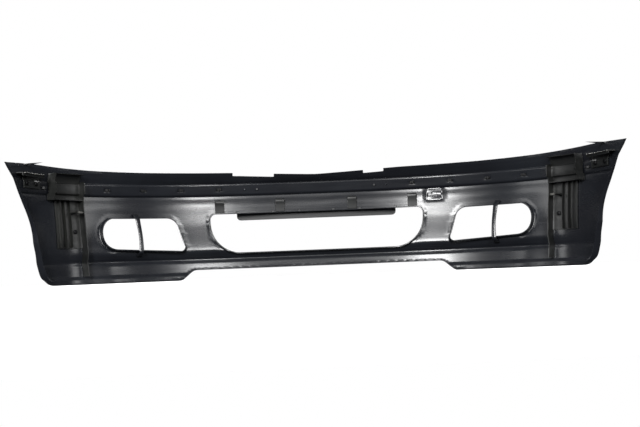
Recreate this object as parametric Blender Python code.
"""Front bumper cover: a thin moulded shell with its strips, plate base, brackets and fasteners.

The shell is drawn flat, on two coordinates: s runs along the plan curve from the car's centre line
(right positive, left negative) and z is the height. skin_point() wraps that drawing onto the bumper.
A third coordinate, depth, goes from the outer surface towards the inside of the car.
The car drives towards +Y, +X is its right side and +Z is up.
"""

import bisect
import math

import bpy
from mathutils import Vector
from mathutils.geometry import delaunay_2d_cdt

# ---------------------------------------------------------------- driving dimensions (metres)
HALF_WIDTH = 0.868  # half the width of the plan curve
CORNER_DEPTH = 0.600  # from the nose to where the plan curve would run straight back
PLAN_SQUARENESS = 2.5  # exponent of the plan curve: 2 is an ellipse, more is squarer
WALL = 0.0030  # thickness of the shell
FIT_GAP = 0.0010  # air between a bracket and the shell that it follows
TOUCH = 0.0003  # air between pieces that touch
PLAY = 0.0005  # air round a peg, hook or screw in its hole

TIP_S = 1.178  # where the upper rear corner lies along the plan curve
TIP_Z = 0.3485
KINK_S = 1.018  # the foremost point of the wheel-arch edge
KINK_Z = 0.125
REAR_FOOT_S = 0.983  # where the wheel-arch edge would meet the ground line
REAR_FOOT_RADIUS = 0.058
SIDE_LIP_START_S = 0.440  # the lower lip hangs deeper outboard of here
SIDE_LIP_SWEEP = (  # the step down to the side lip: s past its start, share of the centre's height
    (-0.035, 1.0), (-0.012, 0.875), (0.0, 0.625), (0.022, 0.125), (0.032, 0.0),
)
CENTRE_BOTTOM_Z = 0.032

TOP_EDGE = (  # height of the top edge along the car's side
    (0.0, 0.3295), (0.135, 0.3355), (0.275, 0.3420), (0.540, 0.3445), (0.763, 0.3485),
    (0.900, 0.3535), (1.000, 0.3575), (1.090, 0.3545), (TIP_S, TIP_Z),
)
TOP_NOTCHES = ((-0.275, -0.137), (0.160, 0.228))
TOP_NOTCH_DEPTH = 0.0090

CHANNEL_TOP_Z = 0.305  # the groove that holds the rub strips
CHANNEL_BOTTOM_Z = 0.2755
LEDGE_Z = 0.2710  # where the wall is back at the bumper's face below the groove
SHOULDER_Z = 0.308

# how far the wall stands inside the plan curve, by height: at the front, and on the flank
FRONT_SECTION = (
    (SHOULDER_Z, 0.017), (CHANNEL_TOP_Z, 0.0195), (CHANNEL_BOTTOM_Z, 0.0215), (LEDGE_Z, 0.0105),
    (0.240, 0.0100), (0.208, 0.0165), (0.178, 0.0225), (0.150, 0.0300), (0.120, 0.0385), (0.092, 0.0460),
    (0.068, 0.0320),
    (0.062, 0.0330), (0.054, 0.0400), (CENTRE_BOTTOM_Z, 0.0440), (0.022, 0.0460),
    (0.014, 0.0540), (0.0, 0.0560),
)
FLANK_SECTION = (
    (SHOULDER_Z, 0.0070), (CHANNEL_TOP_Z, 0.0105), (CHANNEL_BOTTOM_Z, 0.0115), (LEDGE_Z, 0.0050),
    (0.240, 0.0050), (0.208, 0.0080), (0.178, 0.0105), (0.150, 0.0120), (0.120, 0.0132), (0.092, 0.0140),
    (0.068, 0.0120),
    (0.062, 0.0122), (0.054, 0.0130), (CENTRE_BOTTOM_Z, 0.0150), (0.022, 0.0160),
    (0.014, 0.0220), (0.0, 0.0235),
)
TOP_INSET = ((0.0, 0.050), (0.500, 0.047), (0.800, 0.025), (1.100, 0.003))  # at the top edge, by s
UPPER_ROW_Z = 0.325  # a row of the mesh half-way up the band above the shoulder
FLANK_BLEND = (0.700, 0.860)  # the front section fades into the flank section between these s

MAIN_TOP = (0.353, 0.210, 0.020)  # the main opening's upper and lower right corner: s, z, radius
MAIN_FOOT = (0.353, 0.081, 0.095)
FOG_OPENING = (
    (0.438, 0.088, 0.014), (0.738, 0.1020, 0.047), (0.738, 0.2010, 0.050), (0.471, 0.2005, 0.038),
)
FOG_FLANGE_DEPTH = 0.018
FOG_LEAN_FADE = (0.010, 0.060)  # where along s the lean of the inner end fades out
FOG_FLANGE_LEAN = 0.006
MAIN_FLANGE_DEPTH = 0.012
MAIN_FLANGE_LEAN = 0.003
FLANGE_WALL = 0.0025
ARCH_FLANGE_DEPTH = 0.018  # the lip turned in along the wheel arch
GROUND_FLANGE_DEPTH = 0.026  # and along the lower edge of each side
FLANGE_INSET = 0.0003  # a flange starts this far inside the edge that it stands on

STRIP_ENDS = (0.290, 1.080)
STRIP_HOOKS = (0.320, 0.448, 0.576, 0.704, 0.955)
STRIP_HEIGHT_PLAY = 0.0012
STRIP_PROUD = 0.0050  # how far the strip stands out of the plan curve's face
HOOK_SIZE = (0.016, 0.008)
HOOK_LENGTH = 0.010
HOOK_Z = 0.290

PLATE_HALF_WIDTH = 0.261
PLATE_BOTTOM_Z = 0.1895
PLATE_HEIGHT = 0.110
PLATE_THICKNESS = 0.004
PLATE_BACK_GAP = 0.0012  # air between the plate base and the foremost point of the shell
PLATE_RIM = 0.003
PLATE_RIM_WIDTH = 0.004
PLATE_CORNER = 0.012
SCREW_X = 0.231
PEG_X = 0.1915
FIXING_Z = 0.2885
SCREW_RADIUS = 0.0022
SCREW_HEAD_RADIUS = 0.0050
SCREW_HEAD = 0.0020
SCREW_SINK = 0.0026  # how deep the head's seat lies under the licence plate's
SCREW_TIP = 0.0060
PEG_RADIUS = 0.0030
PEG_TIP = 0.0040
TOOL_REACH = 0.010  # how far a cutter starts in front of what it cuts
BOSS_RADIUS = 0.0070

STRUT_S = 0.608
STRUT_WIDTH = 0.0150
STRUT_THICKNESS = 0.0050
STRUT_FOOT = 0.010  # how tall each foot is
STRUT_CLEARANCE = 0.0015

CLIP_S = (0.119, 0.3185)  # the grille sockets above the main opening, mirrored
CLIP_WIDTH = 0.032
CLIP_HEIGHT = 0.042
CLIP_DEPTH = 0.014
CLIP_WALL = 0.002

TOW_S = 0.392
TOW_Z = 0.2490
TOW_WIDTH = 0.052
TOW_HEIGHT = 0.034
TOW_CORNER = 0.005
TOW_GAP = 0.0012  # air round the flap
TOW_HINGE_GAP = 0.0021  # air at its hinged edge, enough for it to swing
TOW_HOOK_HEIGHT = 0.008
TOW_HOOK_BORE = 0.0030
TOW_HOOK_WALL = 0.0018
TOW_HOOK_START = math.radians(-68)  # measured round the hinge from the inward direction
TOW_HOOK_END = math.radians(50)
TOW_HOOK_STEPS = 8
TOW_LATCH_WALL = 0.0020
TOW_LATCH_HEIGHT = 0.012
TOW_LATCH_LENGTH = 0.009

BRACKET_S = (0.806, 0.935)
BRACKET_WALL = 0.0028
POCKET_Z = (0.2545, 0.3340)
POCKET_DEPTH = 0.034
RIB_Z = (0.026, 0.312)
RIB_DEPTH = 0.030
LOWER_PLATE_END_S = 0.905
LOWER_PLATE_Z = 0.110
STIFFENER_S = (0.848, 0.872, 0.892)
STIFFENER_DEPTH = 0.014
ARM_S = 0.834  # the arm that carries the liner's screw
ARM_Z = 0.218
ARM_WIDTH = 0.026
ARM_THICKNESS = 0.0028
ARM_REACH = 0.044

RAIL_S = (0.978, 1.104)
RAIL_Z = 0.3260
RAIL_DEPTH = 0.026
RAIL_LIP = 0.010
RAIL_PLATE_Z = 0.2850
RAIL_PLATE_END_S = 1.066

NUT_SIZE = (0.016, 0.018)  # spring nut: width, length
NUT_SHEET = 0.0010
NUT_CLEARANCE = 0.0003

BRACKET_FIXINGS = ((0.908, 0.290), (0.828, 0.160))  # s and z of the screws in a corner bracket
RAIL_FIXINGS = ((0.998, 0.2975), (1.050, 0.2975))  # and in a guide rail
POST_RADIUS = 0.0050  # the shell's posts that these screws bite into
TAPPING_RADIUS = 0.0016
TAPPING_HEAD_RADIUS = 0.0070
TAPPING_HEAD = 0.0026
TAPPING_TIP_GAP = 0.0002
TAPPING_LENGTH = FIT_GAP + BRACKET_WALL - TAPPING_TIP_GAP  # ends short of the shell
GROUND_SLOTS = (0.560, 0.830)  # the slots in the turned-in lower lip, mirrored
GROUND_SLOT_SIZE = (0.011, 0.0055)

COARSE_STEP = 0.060  # spacing of the shell's vertical lines at the front
FINE_STEP = 0.024  # and round the corners
COARSE_END_S = 0.600
EDGE_CLEARANCE = 0.0045  # no inner vertex of the shell lies closer than this to an edge
LINE_CLEARANCE = 0.0020  # a block that follows the shell isn't split this close to its ends
HAIR = 0.00011  # by how much united blocks differ
ROW_CLEARANCE = 0.0012  # an outline isn't split this close to a point that it already has
ARC_STEPS = 5

SMALL_STEP = 0.0005  # for measuring the shell's slope
TINY = 1e-7
MERGE = 1e-6


# ---------------------------------------------------------------- the plan curve
def plan_curve_table(count=3000):
    """Points of the quarter curve from nose to flank, with the length run so far."""
    table = []
    run = 0.0
    for i in range(count + 1):
        angle = 0.5 * math.pi * i / count
        x = HALF_WIDTH * math.sin(angle) ** (2.0 / PLAN_SQUARENESS)
        y = CORNER_DEPTH * (math.cos(angle) - 1.0)
        if table:
            run += math.hypot(x - table[-1][1], y - table[-1][2])
        table.append((run, x, y))
    return table


PLAN = plan_curve_table()
PLAN_LENGTHS = [row[0] for row in PLAN]


def plan_point(s):
    """(x, y) on the plan curve, and the unit vector from it towards the inside of the car."""
    run = min(abs(s), PLAN_LENGTHS[-1] - TINY)
    i = max(1, bisect.bisect_right(PLAN_LENGTHS, run))
    (run0, x0, y0), (run1, x1, y1) = PLAN[i - 1], PLAN[i]
    share = (run - run0) / (run1 - run0)
    length = math.hypot(x1 - x0, y1 - y0)
    inward = ((y1 - y0) / length, (x0 - x1) / length)
    side = 1.0 if s >= 0 else -1.0
    return (
        side * (x0 + share * (x1 - x0)),
        y0 + share * (y1 - y0),
        (side * inward[0], inward[1]),
    )


def along(s):
    """Unit vector along the plan curve, towards larger s."""
    _, _, inward = plan_point(s)
    return Vector((-inward[1], inward[0], 0.0))


def interpolate(knots, at):
    """Straight-line value between (position, value) pairs sorted either way."""
    rows = sorted(knots)
    if at <= rows[0][0]:
        return rows[0][1]
    for (a, first), (b, second) in zip(rows, rows[1:]):
        if at <= b:
            return first + (second - first) * (at - a) / (b - a)
    return rows[-1][1]


def smooth_step(low, high, at):
    share = min(1.0, max(0.0, (at - low) / (high - low)))
    return share * share * (3.0 - 2.0 * share)


def top_edge_z(s):
    return interpolate(TOP_EDGE, abs(s))


def inset(s, z):
    """How far the outer surface stands inside the plan curve at (s, z)."""
    flank = smooth_step(*FLANK_BLEND, abs(s))
    low = min(z, SHOULDER_Z)
    value = (1 - flank) * interpolate(FRONT_SECTION, low) + flank * interpolate(FLANK_SECTION, low)
    if z > SHOULDER_Z:
        share = (z - SHOULDER_Z) / (top_edge_z(s) - SHOULDER_Z)
        value += (interpolate(TOP_INSET, abs(s)) - value) * share
    return value


PLATE_DEPTH = WALL + FIT_GAP + BRACKET_WALL  # the inner face of a bracket's plate

# The model's origin is the middle of its footprint: the nose is half its length ahead of that.
TIP_Y = plan_point(TIP_S)[1]
PLATE_BACK_Y = PLATE_BACK_GAP - min(value for _, value in FRONT_SECTION)
PLATE_FRONT_Y = PLATE_BACK_Y + PLATE_THICKNESS + PLATE_RIM
NOSE_Y = 0.5 * (PLATE_FRONT_Y - TIP_Y) - PLATE_FRONT_Y


def skin_point(s, z, depth=0.0):
    x, y, inward = plan_point(s)
    offset = inset(s, z) + depth
    return Vector((x + inward[0] * offset, y + inward[1] * offset + NOSE_Y, z))


def wall_point(s, z, depth):
    """The same on the shell's facets, which run straight from one vertical line to the next."""
    lines = shell_lines()
    i = max(1, min(len(lines) - 1, bisect.bisect_right(lines, s)))
    share = (s - lines[i - 1]) / (lines[i] - lines[i - 1])
    return skin_point(lines[i - 1], z, depth).lerp(skin_point(lines[i], z, depth), share)


def inward_normal(s, z):
    """Unit vector square to the shell at (s, z), towards the inside of the car."""
    here = skin_point(s, z)
    across = skin_point(s + SMALL_STEP, z) - here
    up = skin_point(s, z + SMALL_STEP) - here
    return across.cross(up).normalized()


# ---------------------------------------------------------------- outlines on the flat drawing
def rounded(corners, steps=ARC_STEPS):
    """A closed outline through (s, z, radius) corners, each rounded with an arc."""
    points = []
    count = len(corners)
    for i, (s, z, radius) in enumerate(corners):
        here = Vector((s, z))
        to_last = Vector(corners[i - 1][:2]) - here
        to_next = Vector(corners[(i + 1) % count][:2]) - here
        if radius <= 0:
            points.append(here)
            continue
        half = 0.5 * to_last.angle(to_next)
        reach = radius / math.tan(half)
        start = here + to_last.normalized() * reach
        end = here + to_next.normalized() * reach
        centre = here + (to_last.normalized() + to_next.normalized()).normalized() * radius / math.sin(half)
        sweep = math.pi - 2 * half
        for k in range(steps + 1):
            share = math.sin((1 - k / steps) * sweep) / math.sin(sweep)
            other = math.sin(k / steps * sweep) / math.sin(sweep)
            points.append(centre + share * (start - centre) + other * (end - centre))
    return points


def section_rows():
    """The heights at which the shell's section bends."""
    return sorted([z for z, _ in FRONT_SECTION] + [UPPER_ROW_Z])


def refined(points, longest, closed=True):
    """The same outline, split where the section bends and wherever a stretch is longer than this."""
    result = []
    for a, b in zip(points, points[1:] + (points[:1] if closed else [])):
        shares = [0.0, 1.0]
        for z in section_rows():
            if min(a.y, b.y) + ROW_CLEARANCE < z < max(a.y, b.y) - ROW_CLEARANCE:
                shares.append((z - a.y) / (b.y - a.y))
        shares.sort()
        for low, high in zip(shares, shares[1:]):
            parts = max(1, math.ceil((b - a).length * (high - low) / longest - TINY))
            result += [a.lerp(b, low + (high - low) * k / parts) for k in range(parts)]
    return result if closed else result + points[-1:]


def mirrored(points):
    return [Vector((-p.x, p.y)) for p in reversed(points)]


def polygon(centre, radius, sides=8):
    return [
        centre + radius * Vector((math.cos(2 * math.pi * k / sides), math.sin(2 * math.pi * k / sides)))
        for k in range(sides)
    ]


def rectangle(s, z, width, height, corner=0.0, steps=2):
    w, h = width / 2, height / 2
    corners = [(s - w, z - h), (s + w, z - h), (s + w, z + h), (s - w, z + h)]
    return rounded([(a, b, corner) for a, b in corners], steps)


def arch_edge(steps=9):
    """The wheel-arch edge of one side, from the kink up to the tip."""
    return [
        Vector((KINK_S + (TIP_S - KINK_S) * (k / steps) ** 2, KINK_Z + (TIP_Z - KINK_Z) * k / steps))
        for k in range(steps + 1)
    ]


def lower_rear_corner():
    """The rounded lower rear corner of one side, as rounded() makes it."""
    corner = (REAR_FOOT_S, 0.0, REAR_FOOT_RADIUS)
    outline = rounded([(SIDE_LIP_START_S, 0.0, 0.0), corner, (KINK_S, KINK_Z, 0.0)], steps=6)
    return outline[1:-1]


def top_edge_point(s):
    inside_notch = any(a <= s <= b for a, b in TOP_NOTCHES)
    return Vector((s, top_edge_z(s) - (TOP_NOTCH_DEPTH if inside_notch else 0.0)))


def top_edge():
    """The top edge from the right tip to the left one, with its notches."""
    bends = [s for value, _ in TOP_EDGE[1:-1] for s in (value, -value)]
    last = TOP_EDGE[-2][0]
    lines = [
        s for s in shell_lines() if abs(s) < last and all(abs(s - bend) > EDGE_CLEARANCE for bend in bends)
    ]
    points = {round(s, 6): [top_edge_point(s)] for s in bends + lines}
    for start, end in TOP_NOTCHES:
        for s, outside in ((start, -1), (end, 1)):
            corner = Vector((s, top_edge_z(s)))
            low = corner - Vector((0, TOP_NOTCH_DEPTH))
            points[round(s, 6)] = [corner, low] if outside > 0 else [low, corner]
    return [p for s in sorted(points, reverse=True) for p in points[s]]


def side_bottom():
    """The lower edge of one side, from the centre line to the deep side lip."""
    return [
        Vector((0.0, CENTRE_BOTTOM_Z)),
        *(Vector((SIDE_LIP_START_S + s, CENTRE_BOTTOM_Z * share)) for s, share in SIDE_LIP_SWEEP),
    ]


def shell_outline():
    right = side_bottom() + lower_rear_corner() + arch_edge()
    left = mirrored(side_bottom()[1:] + lower_rear_corner() + arch_edge())
    return refined(right + top_edge() + left, COARSE_STEP)


def main_opening():
    right = rounded([(0.0, MAIN_FOOT[1], 0.0), MAIN_FOOT, MAIN_TOP, (0.0, MAIN_TOP[1], 0.0)], 6)
    return right + mirrored(right)[1:-1]


def fog_opening(side):
    points = refined(rounded(FOG_OPENING), 0.045)
    return points if side > 0 else mirrored(points)


def shell_holes():
    """Every hole in the shell, as a closed outline on the flat drawing."""
    holes = [refined(main_opening(), COARSE_STEP)]
    for side in (-1, 1):
        holes.append(fog_opening(side))
        for s in STRIP_HOOKS:
            width, height = (size + 2 * PLAY for size in HOOK_SIZE)
            holes.append(rectangle(side * s, HOOK_Z, width, height))
        holes.append(polygon(Vector((side * plan_s(SCREW_X), FIXING_Z)), SCREW_RADIUS + PLAY))
        holes.append(polygon(Vector((side * plan_s(PEG_X), FIXING_Z)), PEG_RADIUS + PLAY))
    holes.append(refined(rectangle(TOW_S, TOW_Z, TOW_WIDTH, TOW_HEIGHT, TOW_CORNER), COARSE_STEP))
    return holes


def plan_s(x):
    """Where the plan curve's wall, at the fixing height, has this x."""
    low, high = 0.0, HALF_WIDTH
    for _ in range(40):
        middle = 0.5 * (low + high)
        if skin_point(middle, FIXING_Z, WALL / 2).x < x:
            low = middle
        else:
            high = middle
    return low


# ---------------------------------------------------------------- meshes and objects
MATERIALS = {
    "moulded_black": ((0.030, 0.031, 0.034), 0.38, 0.0),
    "strip_black": ((0.020, 0.020, 0.022), 0.55, 0.0),
    "bracket_black": ((0.018, 0.018, 0.019), 0.60, 0.0),
    "zinc_steel": ((0.62, 0.63, 0.65), 0.35, 1.0),
    "dark_spring_steel": ((0.10, 0.10, 0.11), 0.45, 1.0),
}


def material(name):
    """The named finish, as a Principled BSDF."""
    made = bpy.data.materials.get(name)
    if made is None:
        colour, roughness, metallic = MATERIALS[name]
        made = bpy.data.materials.new(name)
        made.use_nodes = True
        shader = made.node_tree.nodes["Principled BSDF"]
        shader.inputs["Base Color"].default_value = (*colour, 1.0)
        shader.inputs["Roughness"].default_value = roughness
        shader.inputs["Metallic"].default_value = metallic
    return made


def add_object(name, points, faces, finish, parent=None, origin=None):
    """A mesh object from world-space points, with its origin where asked."""
    origin = origin or Vector((0, 0, 0))
    mesh = bpy.data.meshes.new(name)
    mesh.from_pydata([Vector(p) - origin for p in points], [], faces)
    mesh.validate()
    mesh.materials.append(material(finish))
    mesh.shade_smooth()
    mesh.set_sharp_from_angle(angle=math.radians(35))
    made = bpy.data.objects.new(name, mesh)
    made.location = origin
    bpy.context.scene.collection.objects.link(made)
    if parent:
        made.parent = parent
        made.location = origin - parent.location
    return made


def join(target, *others):
    """Unites helper solids with target. They stay in the file as hidden tools."""
    for other in others:
        combine(target, other, "UNION")
    return target


def cut(target, *others):
    for other in others:
        combine(target, other, "DIFFERENCE")
    return target


def combine(target, other, operation, solver="EXACT"):
    other.hide_render = True
    other.display_type = "WIRE"
    modifier = target.modifiers.new(other.name, "BOOLEAN")
    modifier.operation = operation
    modifier.solver = solver
    modifier.object = other


def grid_faces(rows, columns):
    """Quads between rows of points, each row a closed ring of this many points."""
    return [
        (
            r * columns + c, r * columns + (c + 1) % columns,
            (r + 1) * columns + (c + 1) % columns, (r + 1) * columns + c,
        )
        for r in range(rows - 1)
        for c in range(columns)
    ]


def tube(rings, closed=False):
    """Points and faces of a solid through rings of equal size, capped unless it closes on itself."""
    columns = len(rings[0])
    points = [p for ring in rings for p in ring]
    faces = grid_faces(len(rings), columns)
    if closed:
        last = (len(rings) - 1) * columns
        faces += [(last + c, last + (c + 1) % columns, (c + 1) % columns, c) for c in range(columns)]
    else:
        faces.append(tuple(reversed(range(columns))))
        faces.append(tuple(range((len(rings) - 1) * columns, len(rings) * columns)))
    return points, outward(points, faces)


def outward(points, faces):
    """The faces, all turned round if they enclose a negative volume."""
    volume = 0.0
    for face in faces:
        a = Vector(points[face[0]])
        for i in range(1, len(face) - 1):
            volume += a.dot(Vector(points[face[i]]).cross(Vector(points[face[i + 1]])))
    return faces if volume > 0 else [tuple(reversed(face)) for face in faces]


def stations(start, end, hair=0.0):
    """Positions from start to end, on the shell's own vertical lines in between."""
    inner = [s + hair for s in shell_lines() if start + LINE_CLEARANCE < s < end - LINE_CLEARANCE]
    return [start] + inner + [end]


def heights(low, high, hair=0.0):
    inner = [z + hair for z in section_rows() if low + ROW_CLEARANCE < z < high - ROW_CLEARANCE]
    return [low] + inner + [high]


def curved_block(name, side, s_range, z_range, depth_range, finish="bracket_black", hair=0.0):
    """A solid that follows the shell: a box in (s, z, depth)."""
    rows = heights(*z_range, hair)
    rings = []
    for s in stations(*s_range, hair):
        near = [wall_point(side * s, z, depth_range[0]) for z in rows]
        far = [wall_point(side * s, z, depth_range[1]) for z in reversed(rows)]
        rings.append(near + far)
    return add_object(name, *tube(rings), finish)


def straight_block(name, s, z, width, depth_range, height, finish="bracket_black"):
    """A box square to the shell at (s, z), from one depth to another."""
    rings = []
    for depth in depth_range:
        middle = skin_point(s, z, depth)
        corners = ((-1, -1), (1, -1), (1, 1), (-1, 1))
        rings.append([
            middle + along(s) * a * width / 2 + Vector((0, 0, b * height / 2)) for a, b in corners
        ])
    return add_object(name, *tube(rings), finish)


def turned(name, profile, origin, axis, finish, sides=12, bore=None, parent=None):
    """A round solid: (distance along axis, radius) profile, with an optional bore of (radius)."""
    axis = Vector(axis).normalized()
    across = axis.orthogonal().normalized()
    other = axis.cross(across)

    def ring(along, radius):
        angles = [2 * math.pi * k / sides for k in range(sides)]
        return [
            Vector(origin) + axis * along + radius * (math.cos(a) * across + math.sin(a) * other)
            for a in angles
        ]

    rings = [ring(*row) for row in profile]
    if bore:
        rings += [ring(profile[-1][0], bore), ring(profile[0][0], bore)]
    return add_object(name, *tube(rings, closed=bool(bore)), finish, parent, Vector(origin))


# ---------------------------------------------------------------- the shell
def shell_lines():
    """The s of each vertical line of the shell's mesh."""
    steps = int(COARSE_END_S / COARSE_STEP + TINY)
    coarse = [k * COARSE_STEP for k in range(-steps, steps + 1)]
    count = int((TIP_S - COARSE_END_S) / FINE_STEP)
    fine = [COARSE_END_S + k * FINE_STEP for k in range(1, count + 1)]
    return sorted(coarse + fine + [-s for s in fine])


def inside(point, outline):
    """Whether a point lies inside a closed outline."""
    found = False
    for a, b in zip(outline, outline[1:] + outline[:1]):
        if (a.y > point.y) != (b.y > point.y):
            crossing = a.x + (b.x - a.x) * (point.y - a.y) / (b.y - a.y)
            found ^= point.x < crossing
    return found


def near(point, outline, distance):
    for a, b in zip(outline, outline[1:] + outline[:1]):
        along = b - a
        share = max(0.0, min(1.0, (point - a).dot(along) / along.length_squared))
        if (point - a - along * share).length < distance:
            return True
    return False


def shell_drawing():
    """The flat drawing as points, outline loops and triangles."""
    loops = [shell_outline()] + shell_holes()
    points = []
    edges = []
    for loop in loops:
        first = len(points)
        points += loop
        edges += [(first + k, first + (k + 1) % len(loop)) for k in range(len(loop))]
    for z in section_rows():
        row = [k for k, point in enumerate(points) if abs(point.y - z) < TINY]
        for s in shell_lines():
            spot = Vector((s, z))
            if on_shell(spot, loops) and not any(near(spot, loop, EDGE_CLEARANCE) for loop in loops):
                row.append(len(points))
                points.append(spot)
        row.sort(key=lambda k: points[k].x)
        edges += [(a, b) for a, b in zip(row, row[1:]) if on_shell(points[a].lerp(points[b], 0.5), loops)]
    drawn, _, triangles, _, _, _ = delaunay_2d_cdt(points, edges, [], 0, MERGE)
    return drawn, [tuple(t) for t in triangles if on_shell(middle_of([drawn[k] for k in t]), loops)]


def middle_of(points):
    return sum(points, Vector((0, 0))) / len(points)


def on_shell(point, loops):
    """Whether a point of the drawing lies in its outline and in no hole."""
    return inside(point, loops[0]) and not any(inside(point, loop) for loop in loops[1:])


def wrapped_sheet(name, drawn, triangles, finish):
    """A closed wall made from flat triangles: an outer face, an inner one and the rims between."""
    count = len(drawn)
    points = [skin_point(p.x, p.y) for p in drawn] + [skin_point(p.x, p.y, WALL) for p in drawn]
    faces = []
    border = set()
    for a, b, c in triangles:
        faces += [(a, b, c), (c + count, b + count, a + count)]
        for edge in ((a, b), (b, c), (c, a)):
            if edge[::-1] in border:
                border.remove(edge[::-1])
            else:
                border.add(edge)
    faces += [(b, a, a + count, b + count) for a, b in sorted(border)]
    used = sorted({k for face in faces for k in face})
    index = {k: i for i, k in enumerate(used)}
    faces = [tuple(index[k] for k in face) for face in faces]
    points = [points[k] for k in used]
    return add_object(name, points, outward(points, faces), finish)


def outline_normals(points, closed):
    """Unit vectors to the left of the way along an outline."""
    count = len(points)
    result = []
    for i, here in enumerate(points):
        last = points[i - 1] if closed or i else here
        after = points[(i + 1) % count] if closed or i + 1 < count else here
        along = (after - last).normalized()
        result.append(Vector((-along.y, along.x)))
    return result


def flange(name, points, closed, reach, lean=None):
    """A thin wall standing on an edge of the shell, on the left of the way along it."""
    normals = outline_normals(points, closed)
    rings = []
    for here, normal in zip(points, normals):
        depth = reach(here)
        start = here + normal * FLANGE_INSET
        end = here + normal * (FLANGE_INSET + FLANGE_WALL)
        shift = lean(here) if lean else Vector((0, 0))
        rings.append([
            skin_point(start.x, start.y, WALL / 2),
            skin_point(end.x, end.y, WALL / 2),
            skin_point(end.x + shift.x, end.y + shift.y, depth),
            skin_point(start.x + shift.x, start.y + shift.y, depth),
        ])
    return add_object(name, *tube(rings, closed), "moulded_black")


def fog_lean(side):
    """The fog bay's flange leans into the opening along its lower and inner edges."""
    (inner_s, low, _), _, (_, high, _), _ = FOG_OPENING

    def lean(point):
        up = FOG_FLANGE_LEAN * (1 - smooth_step(low, low + 0.4 * (high - low), point.y))
        fade = smooth_step(inner_s + FOG_LEAN_FADE[0], inner_s + FOG_LEAN_FADE[1], abs(point.x))
        out = FOG_FLANGE_LEAN * (1 - fade)
        return Vector((side * out, up))

    return lean


def main_lean(point):
    """The main opening's flange leans in along its lower edge."""
    low, high = MAIN_FOOT[1], MAIN_TOP[1]
    return Vector((0, MAIN_FLANGE_LEAN * (1 - smooth_step(low, low + 0.5 * (high - low), point.y))))


def edge_lip_depth(point):
    """How deep the lip is turned in: deepest along the ground, shallower up the wheel arch."""
    share = smooth_step(0.5 * REAR_FOOT_RADIUS, KINK_Z, point.y)
    return GROUND_FLANGE_DEPTH + (ARCH_FLANGE_DEPTH - GROUND_FLANGE_DEPTH) * share


def make_shell():
    drawn, triangles = shell_drawing()
    shell = wrapped_sheet("cover_skin", drawn, triangles, "moulded_black")
    opening = refined(main_opening(), COARSE_STEP)
    opening.reverse()
    join(shell, flange("main_flange_tool", opening, True, lambda point: MAIN_FLANGE_DEPTH, main_lean))
    for side, label in ((-1, "left"), (1, "right")):
        bay = list(reversed(fog_opening(side)))
        name = f"fog_flange_tool_{label}"
        join(shell, flange(name, bay, True, lambda point: FOG_FLANGE_DEPTH, fog_lean(side)))
        edge = refined(side_bottom()[-1:] + lower_rear_corner() + arch_edge(), COARSE_STEP, closed=False)
        edge = edge if side > 0 else mirrored(edge)
        join(shell, flange(f"arch_flange_tool_{label}", edge, False, edge_lip_depth))
        for k, s in enumerate(GROUND_SLOTS):
            width, tall = GROUND_SLOT_SIZE
            depths = (0.5 * GROUND_FLANGE_DEPTH, 0.5 * GROUND_FLANGE_DEPTH + tall)
            cut(shell, straight_block(f"ground_slot_tool_{label}_{k}", side * s, 0.0, width, depths, 0.012))
    return shell


# ---------------------------------------------------------------- strips and plate base
def make_strip(side, label):
    """A rub strip that fills the groove, with hooks through the shell's slots."""
    low = CHANNEL_BOTTOM_Z + STRIP_HEIGHT_PLAY
    high = CHANNEL_TOP_Z - STRIP_HEIGHT_PLAY
    rings = []
    for s in stations(*STRIP_ENDS):
        taper = 1.0 if STRIP_ENDS[0] < s < STRIP_ENDS[1] else 0.35
        middle = 0.5 * (low + high)
        front = -inset(side * s, middle) * 0.55 - STRIP_PROUD * taper
        rings.append([
            skin_point(side * s, low, -FIT_GAP),
            skin_point(side * s, low + 0.004, front),
            skin_point(side * s, high - 0.004, front),
            skin_point(side * s, high, -FIT_GAP),
        ])
    strip = add_object(f"rub_strip_{label}", *tube(rings), "strip_black")
    for k, s in enumerate(STRIP_HOOKS):
        half, tall = HOOK_SIZE[0] / 2, HOOK_SIZE[1] / 2
        reach = WALL + HOOK_LENGTH
        tip = 0.6
        rings = []
        for depth, share in ((-0.003, 1.0), (WALL + 0.5 * HOOK_LENGTH, 1.0), (reach, tip)):
            rings.append([
                skin_point(side * s, HOOK_Z, depth) + along(side * s) * a * half * share
                + Vector((0, 0, b * tall * share))
                for a, b in ((-1, -1), (1, -1), (1, 1), (-1, 1))
            ])
        join(strip, add_object(f"hook_tool_{label}_{k}", *tube(rings), "strip_black"))
    return strip


def plate_outline(half_width, bottom, top, corner):
    corners = [(-half_width, bottom), (half_width, bottom), (half_width, top), (-half_width, top)]
    return rounded([(x, z, corner) for x, z in corners], 3)


def extruded(name, outline, back_y, front_y, finish):
    """A solid from an (x, z) outline between two planes across the car's length."""
    rings = [[Vector((p.x, y, p.y)) for p in outline] for y in (back_y, front_y)]
    return add_object(name, *tube(rings), finish)


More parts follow.
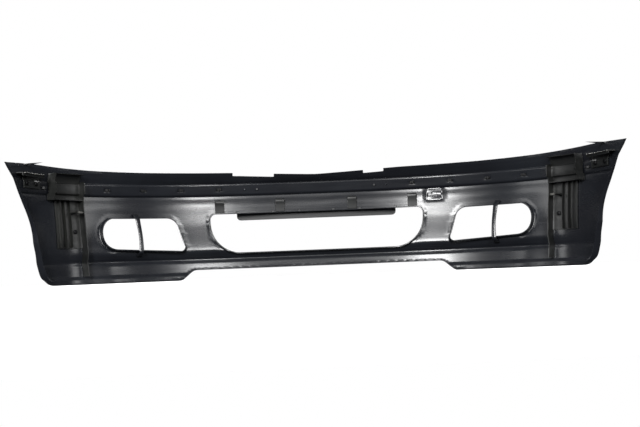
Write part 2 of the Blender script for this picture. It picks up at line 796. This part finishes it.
def make_plate_base():
    """The licence-plate base with its rim, two screw bosses and two locating pegs."""
    top = PLATE_BOTTOM_Z + PLATE_HEIGHT
    front = PLATE_FRONT_Y + NOSE_Y
    back = front - PLATE_THICKNESS - PLATE_RIM
    outline = plate_outline(PLATE_HALF_WIDTH, PLATE_BOTTOM_Z, top, PLATE_CORNER)
    base = extruded("licence_plate_base", outline, back, front, "strip_black")
    low, high = PLATE_BOTTOM_Z + PLATE_RIM_WIDTH, top - PLATE_RIM_WIDTH
    recess = plate_outline(PLATE_HALF_WIDTH - PLATE_RIM_WIDTH, low, high, PLATE_CORNER - PLATE_RIM_WIDTH)
    cut(base, extruded("plate_recess_tool", recess, front - PLATE_RIM, front + TOOL_REACH, "strip_black"))
    for side, label in ((-1, "left"), (1, "right")):
        for kind, x, radius, past in (
            ("boss", SCREW_X, BOSS_RADIUS, -2 * FIT_GAP),
            ("peg", PEG_X, PEG_RADIUS, WALL + PEG_TIP),
        ):
            wall = skin_point(plan_s(x), FIXING_Z)
            start = Vector((side * x, back + PLATE_THICKNESS / 2, FIXING_Z))
            length = start.y - wall.y + past
            profile = [(0, radius), (length, radius)]
            tool = turned(f"{kind}_tool_{label}", profile, start, (0, -1, 0), "strip_black")
            join(base, tool)
        start = Vector((side * SCREW_X, front + TOOL_REACH, FIXING_Z))
        bore, sink = SCREW_RADIUS + PLAY, SCREW_HEAD_RADIUS + PLAY
        seat = TOOL_REACH + PLATE_RIM + SCREW_SINK
        profile = [(0, sink), (seat, sink), (seat + HAIR, bore), (seat + 4 * TOOL_REACH, bore)]
        cut(base, turned(f"screw_hole_tool_{label}", profile, start, (0, -1, 0), "strip_black"))
        make_plate_screw(side, label, front - PLATE_RIM - SCREW_SINK)
    return base


def make_plate_screw(side, label, seat_y):
    """A pan-head screw from the front through the plate base and the shell."""
    seat = Vector((side * SCREW_X, seat_y + TOUCH, FIXING_Z))
    wall = skin_point(plan_s(SCREW_X), FIXING_Z, WALL)
    length = seat.y - wall.y + SCREW_TIP
    profile = [
        (-SCREW_HEAD, 0.55 * SCREW_HEAD_RADIUS), (-0.55 * SCREW_HEAD, SCREW_HEAD_RADIUS),
        (0.0, SCREW_HEAD_RADIUS), (HAIR, SCREW_RADIUS), (length - 0.7 * SCREW_TIP, SCREW_RADIUS),
        (length, 0.2 * SCREW_RADIUS),
    ]
    turned(f"plate_screw_{label}", profile, seat, (0, -1, 0), "zinc_steel", sides=10)


# ---------------------------------------------------------------- fog bay struts
def make_strut(side, label):
    """The bar across the fog bay. Its feet sit on the inside of the shell, past the bay's flange."""
    start, end = STRUT_S - STRUT_WIDTH / 2, STRUT_S + STRUT_WIDTH / 2
    low = interpolate([corner[:2] for corner in FOG_OPENING[:2]], start)
    high = interpolate([corner[:2] for corner in FOG_OPENING[2:]], end)
    past_flange = FLANGE_INSET + FLANGE_WALL + STRUT_CLEARANCE
    bottom = low - past_flange - STRUT_FOOT
    top = high + past_flange + STRUT_FOOT
    crest = FOG_FLANGE_DEPTH + FIT_GAP
    name = f"fog_bay_strut_{label}"
    depths = (crest, crest + STRUT_THICKNESS)
    strut = curved_block(name, side, (start, end), (bottom, top), depths, "moulded_black")
    for k, z_range in enumerate(((bottom + 0.0002, bottom + STRUT_FOOT), (top - STRUT_FOOT, top - 0.0002))):
        foot_s = (start + 0.0002, end - 0.0002)
        depths = (WALL + 1.6 * FIT_GAP, crest + 0.5 * STRUT_THICKNESS)
        join(strut, curved_block(f"{name}_tool_{k}", side, foot_s, z_range, depths, "moulded_black"))
    return strut


# ---------------------------------------------------------------- grille sockets
def make_grille_socket(side, s, label):
    """A U-shaped socket with a roof, behind the shell's wall above the main opening."""
    low = MAIN_TOP[1] + FLANGE_INSET + FLANGE_WALL + STRUT_CLEARANCE
    high = low + CLIP_HEIGHT
    start, end = s - CLIP_WIDTH / 2, s + CLIP_WIDTH / 2
    back = WALL + FIT_GAP
    tip = back + CLIP_DEPTH
    wall = CLIP_WALL
    outline = (
        (start, back), (end, back), (end, tip), (end - wall, tip),
        (end - wall, back + wall), (start + wall, back + wall), (start + wall, tip), (start, tip),
    )
    rings = [[wall_point(side * a, z, depth) for a, depth in outline] for z in heights(low, high)]
    socket = add_object(f"grille_socket_{label}", *tube(rings), "bracket_black")
    roof_s = (start + wall / 2, end - wall / 2)
    roof_z = (high - 1.25 * wall, high - 0.25 * wall)
    depths = (back + wall / 2, tip - wall)
    join(socket, curved_block(f"grille_socket_roof_tool_{label}", side, roof_s, roof_z, depths))
    return socket


# ---------------------------------------------------------------- tow-eye cover
def tow_hinge():
    """The tow-eye cover's hinge: a point on its axis, the way along the shell and the way inwards."""
    edge_s = TOW_S + TOW_WIDTH / 2
    _, _, inward = plan_point(edge_s)
    return skin_point(edge_s, TOW_Z, WALL / 2), along(edge_s), Vector((*inward, 0.0))


def make_tow_cover():
    """A flap flush with the shell, with a hook round the edge of its opening that it swings on."""
    hinge, out, inward = tow_hinge()
    parent = bpy.data.objects.new("tow_cover_hinge", None)
    parent.location = hinge
    bpy.context.scene.collection.objects.link(parent)

    free_s = TOW_S - TOW_WIDTH / 2 + TOW_GAP
    hinged_s = TOW_S + TOW_WIDTH / 2 - TOW_HINGE_GAP
    height = TOW_HEIGHT - 2 * TOW_GAP
    outline = rectangle((free_s + hinged_s) / 2, TOW_Z, hinged_s - free_s, height, TOW_CORNER - TOW_GAP)
    outline = refined(outline, COARSE_STEP)
    rings = [[skin_point(p.x, p.y, depth) for p in outline] for depth in (0.0, WALL)]
    flap = add_object("tow_eye_cover", *tube(rings), "moulded_black", parent, hinge)

    rings = []
    for k in range(TOW_HOOK_STEPS + 1):
        angle = TOW_HOOK_START + (TOW_HOOK_END - TOW_HOOK_START) * k / TOW_HOOK_STEPS
        direction = out * math.sin(angle) + inward * math.cos(angle)
        rings.append([
            hinge + direction * radius + Vector((0, 0, z * TOW_HOOK_HEIGHT / 2))
            for radius, z in (
                (TOW_HOOK_BORE, -1), (TOW_HOOK_BORE + TOW_HOOK_WALL, -1),
                (TOW_HOOK_BORE + TOW_HOOK_WALL, 1), (TOW_HOOK_BORE, 1),
            )
        ])
    hook = add_object("tow_hook_tool", *tube(rings), "moulded_black", parent, hinge)
    latch_s = free_s + TOW_LATCH_WALL
    latch = straight_block(
        "tow_latch_tool", latch_s, TOW_Z, TOW_LATCH_WALL,
        (WALL / 2, WALL + TOW_LATCH_LENGTH), TOW_LATCH_HEIGHT,
    )
    join(flap, hook, latch)
    return flap


# ---------------------------------------------------------------- corner brackets and guide rails
def built_up(name, side, blocks):
    """One piece from blocks in (s, z, depth). Each is a hair smaller, so that no two share a plane."""
    for k, (s_range, z_range, depth_range) in enumerate(blocks):
        hair = k * HAIR
        near, far = depth_range
        block = curved_block(
            f"{name}_tool_{k}" if k else name, side, (s_range[0] + hair, s_range[1] - hair),
            (z_range[0] + hair, z_range[1] - hair), (near + hair, far - hair), hair=hair,
        )
        if k:
            combine(body, block, "UNION", "MANIFOLD")  # EXACT drops a block in some of these
        else:
            body = block
    return body


def make_corner_bracket(side, label):
    """The moulded bracket behind each corner: a tall rib, a pocket above and an arm for a screw."""
    start, end = BRACKET_S
    low, high = POCKET_Z
    wall = BRACKET_WALL
    seat = WALL + FIT_GAP
    plate = (seat, seat + wall)
    blocks = [
        ((start - wall / 2, start + wall / 2), RIB_Z, (seat, RIB_DEPTH)),
        ((start, end), (low, high), plate),
        ((end - wall, end), (low, high), (seat, POCKET_DEPTH)),
        ((start, end), (low, low + wall), (seat, POCKET_DEPTH - 0.006)),
        ((start, end), (high - wall, high), (seat, POCKET_DEPTH - 0.003)),
        ((start, LOWER_PLATE_END_S), (LOWER_PLATE_Z, low + wall / 2), plate),
    ]
    for s in STIFFENER_S:
        heights = (LOWER_PLATE_Z + wall, low + wall / 2)
        blocks.append(((s, s + wall), heights, (seat, seat + STIFFENER_DEPTH)))
    body = built_up(f"corner_bracket_{label}", side, blocks)
    depths = (seat + wall / 2, ARM_REACH)
    arm = straight_block(f"bracket_arm_tool_{label}", side * ARM_S, ARM_Z, ARM_WIDTH, depths, ARM_THICKNESS)
    return join(body, arm)


def make_guide_rail(side, label):
    """The rail under the top edge that slides into the wing's carrier."""
    start, end = RAIL_S
    wall = BRACKET_WALL
    seat = WALL + FIT_GAP
    blocks = [
        ((start, end), (RAIL_Z - wall, RAIL_Z), (seat, RAIL_DEPTH)),
        ((start, end), (RAIL_Z - RAIL_LIP, RAIL_Z), (RAIL_DEPTH - wall, RAIL_DEPTH)),
        ((start, RAIL_PLATE_END_S), (RAIL_PLATE_Z, RAIL_Z), (seat, seat + wall)),
    ]
    return built_up(f"guide_rail_{label}", side, blocks)


# ---------------------------------------------------------------- spring nuts and screws
def make_spring_nut(name, seat, out, across, thickness):
    """A U-shaped sheet nut that grips a plate from its edge. seat is the middle of the plate's edge."""
    width, length = NUT_SIZE
    gap = thickness / 2 + NUT_CLEARANCE
    up = Vector((0, 0, 1))
    outline = [
        (-length, gap), (NUT_CLEARANCE, gap), (NUT_CLEARANCE, -gap), (-length, -gap),
        (-length, -gap - NUT_SHEET), (NUT_CLEARANCE + NUT_SHEET, -gap - NUT_SHEET),
        (NUT_CLEARANCE + NUT_SHEET, gap + NUT_SHEET), (-length, gap + NUT_SHEET),
    ]
    rings = [
        [seat + out * a + up * b + across * (k * width / 2) for a, b in outline]
        for k in (-1, 1)
    ]
    return add_object(name, *tube(rings), "dark_spring_steel")


def make_arm_nut(side, label):
    """The spring nut on the end of the corner bracket's arm."""
    s = side * ARM_S
    _, _, inward = plan_point(s)
    return make_spring_nut(
        f"arm_spring_nut_{label}", skin_point(s, ARM_Z, ARM_REACH), Vector((*inward, 0)), along(s),
        ARM_THICKNESS,
    )


def make_tapping_screw(name, s, z):
    """A pan-head screw that holds a bracket's plate against its post on the shell."""
    profile = [
        (-TAPPING_LENGTH, 0.4 * TAPPING_RADIUS), (0.6 * TAPPING_RADIUS - TAPPING_LENGTH, TAPPING_RADIUS),
        (0.0, TAPPING_RADIUS), (0.0001, TAPPING_HEAD_RADIUS), (0.5 * TAPPING_HEAD, TAPPING_HEAD_RADIUS),
        (TAPPING_HEAD, 0.55 * TAPPING_HEAD_RADIUS),
    ]
    inward = inward_normal(s, z)
    seat = skin_point(s, z, WALL / 2) + inward * (PLATE_DEPTH - WALL / 2 + 2 * TOUCH)
    return turned(name, profile, seat, inward, "zinc_steel", 10)


def fix_with_screws(shell, bracket, side, label, spots):
    """For each spot: a post on the shell, a hole for it in the bracket's plate, and the screw."""
    kind = bracket.name.rsplit("_", 1)[0]
    for k, (across, z) in enumerate(spots, 1):
        s = side * across
        inward = inward_normal(s, z)
        length = PLATE_DEPTH - TOUCH - WALL / 2
        bore = TAPPING_RADIUS + TOUCH
        post = [(0, POST_RADIUS), (length, POST_RADIUS), (length, bore), (0.8 * WALL / 2, bore)]
        origin = skin_point(s, z, WALL / 2)
        join(shell, turned(f"{kind}_post_tool_{label}_{k}", post, origin, inward, "moulded_black", 10))
        hole = [(-0.02, POST_RADIUS + PLAY), (0.02, POST_RADIUS + PLAY)]
        cut(bracket, turned(f"{kind}_hole_tool_{label}_{k}", hole, origin, inward, "bracket_black", 10))
        make_tapping_screw(f"{kind}_screw_{label}_{k}", s, z)


def main():
    for old in list(bpy.data.objects):
        bpy.data.objects.remove(old)
    shell = make_shell()
    make_plate_base()
    make_tow_cover()
    for side, label in ((-1, "left"), (1, "right")):
        make_strip(side, label)
        make_strut(side, label)
        for s, place in zip(CLIP_S, ("inner", "outer")):
            make_grille_socket(side, s, f"{place}_{label}")
        bracket = make_corner_bracket(side, label)
        rail = make_guide_rail(side, label)
        make_arm_nut(side, label)
        fix_with_screws(shell, bracket, side, label, BRACKET_FIXINGS)
        fix_with_screws(shell, rail, side, label, RAIL_FIXINGS)


main()
